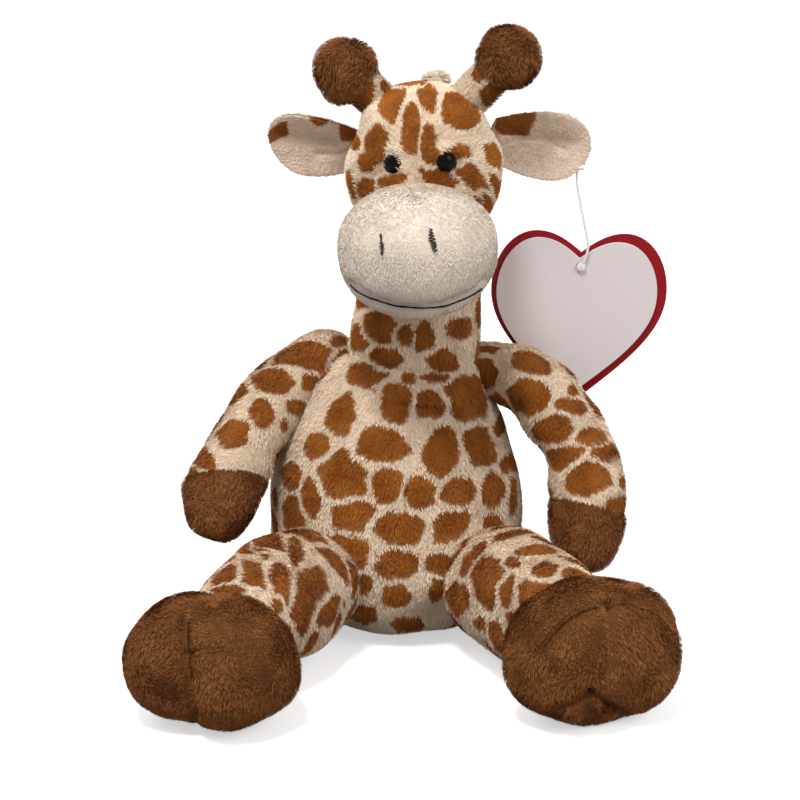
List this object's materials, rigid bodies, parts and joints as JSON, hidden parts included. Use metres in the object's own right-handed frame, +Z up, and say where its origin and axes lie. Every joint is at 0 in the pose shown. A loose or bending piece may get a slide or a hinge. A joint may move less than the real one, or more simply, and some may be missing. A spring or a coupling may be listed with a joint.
{
  "type": "plush giraffe",
  "caption": "Seated stuffed giraffe with a spotted plush body, turning head, bending neck, swinging arms, hinged legs, soft ears and a heart-shaped swing tag.",
  "frame": {"origin": "middle of the flat that the body sits on", "axes": "+Z up through the head, the face looks along -Y, the toy's own left is +X"},
  "size_m": [0.1906, 0.1689, 0.2184],
  "materials": {
    "spotted_plush": "short plush pile, cream with caramel patches",
    "cream_plush": "short plush pile, plain cream",
    "brown_plush": "short plush pile, mid brown",
    "tan_plush": "short plush pile, pale tan",
    "fibre": "loose polyester fibre filling",
    "pellet_cloth": "plain woven pouch",
    "black_plastic": "polished black",
    "washer_plastic": "moulded",
    "black_thread": "satin embroidery thread",
    "pale_card": "smooth printed card, bare",
    "red_card": "smooth card, dark red",
    "clear_plastic": "clear moulded filament"
  },
  "bodies": {
    "torso": {"torso_skin": "spotted_plush", "torso_stuffing": "fibre", "pellet_pouch": "pellet_cloth"},
    "neck": {"neck_skin": "spotted_plush", "neck_stuffing": "fibre"},
    "head": {"head_skin": "spotted_plush", "head_stuffing": "fibre", "eye_left": "black_plastic", "eye_right": "black_plastic", "eye_washer_left": "washer_plastic", "eye_washer_right": "washer_plastic", "muzzle": "cream_plush", "muzzle_stuffing": "fibre", "mouth_embroidery": "black_thread", "nostril_left": "black_thread", "nostril_right": "black_thread", "mane": "tan_plush", "horn_stalk_left": "spotted_plush", "horn_ball_left": "brown_plush", "horn_stalk_right": "spotted_plush", "horn_ball_right": "brown_plush"},
    "ear_left": {"ear_back_left": "spotted_plush", "ear_lining_left": "cream_plush"},
    "ear_right": {"ear_back_right": "spotted_plush", "ear_lining_right": "cream_plush"},
    "arm_left": {"arm_left": "spotted_plush", "hand_left": "brown_plush", "arm_stuffing_left": "fibre"},
    "arm_right": {"arm_right": "spotted_plush", "hand_right": "brown_plush", "arm_stuffing_right": "fibre"},
    "leg_left": {"leg_left": "spotted_plush", "foot_left": "brown_plush", "leg_stuffing_left": "fibre"},
    "leg_right": {"leg_right": "spotted_plush", "foot_right": "brown_plush", "leg_stuffing_right": "fibre"},
    "tail": {"tail": "spotted_plush", "tail_tuft": "brown_plush"},
    "tag": {"tag_front": "pale_card", "tag_back": "red_card", "tag_fastener": "clear_plastic"}
  },
  "joints": [
    {"name": "neck_bend", "type": "hinge", "parent": "torso", "child": "neck", "pos_m": [0.004, -0.006, 0.075], "axis": [1, 0, 0], "range_deg": [-12, 12], "stiffness_Nm_per_rad": 1.5},
    {"name": "head_turn", "type": "hinge", "parent": "neck", "child": "head", "pos_m": [0.009, -0.002, 0.142], "axis": [-0.0262, 0, 0.9997], "range_deg": [-10, 35]},
    {"name": "ear_left_flex", "type": "hinge", "parent": "head", "child": "ear_left", "pos_m": [0.03127, 0.00883, 0.17589], "axis": [0.0262, 0, -0.9997], "range_deg": [-25, 15], "stiffness_Nm_per_rad": 0.03},
    {"name": "ear_right_flex", "type": "hinge", "parent": "head", "child": "ear_right", "pos_m": [-0.01243, 0.01305, 0.17125], "axis": [-0.0262, 0, 0.9997], "range_deg": [-25, 15], "stiffness_Nm_per_rad": 0.03},
    {"name": "arm_left_swing", "type": "hinge", "parent": "torso", "child": "arm_left", "pos_m": [0.028, 0.001, 0.093], "axis": [-0.9397, -0.342, 0], "range_deg": [0, 70]},
    {"name": "arm_right_swing", "type": "hinge", "parent": "torso", "child": "arm_right", "pos_m": [-0.026, 0.001, 0.098], "axis": [-0.9397, 0.342, 0], "range_deg": [0, 70]},
    {"name": "leg_left_splay", "type": "hinge", "parent": "torso", "child": "leg_left", "pos_m": [0.024, -0.015, 0.0235], "axis": [0, 0, 1], "range_deg": [-18, 0]},
    {"name": "leg_right_splay", "type": "hinge", "parent": "torso", "child": "leg_right", "pos_m": [-0.024, -0.015, 0.0235], "axis": [0, 0, -1], "range_deg": [-18, 6]},
    {"name": "tail_lift", "type": "hinge", "parent": "torso", "child": "tail", "pos_m": [0, 0.0317, 0.033], "axis": [1, 0, 0], "range_deg": [0, 70]},
    {"name": "tag_swing", "type": "hinge", "parent": "ear_left", "child": "tag", "pos_m": [0.06295, 0.01205, 0.16425], "axis": [0, -1, 0], "range_deg": [-8, 25]}
  ]
}
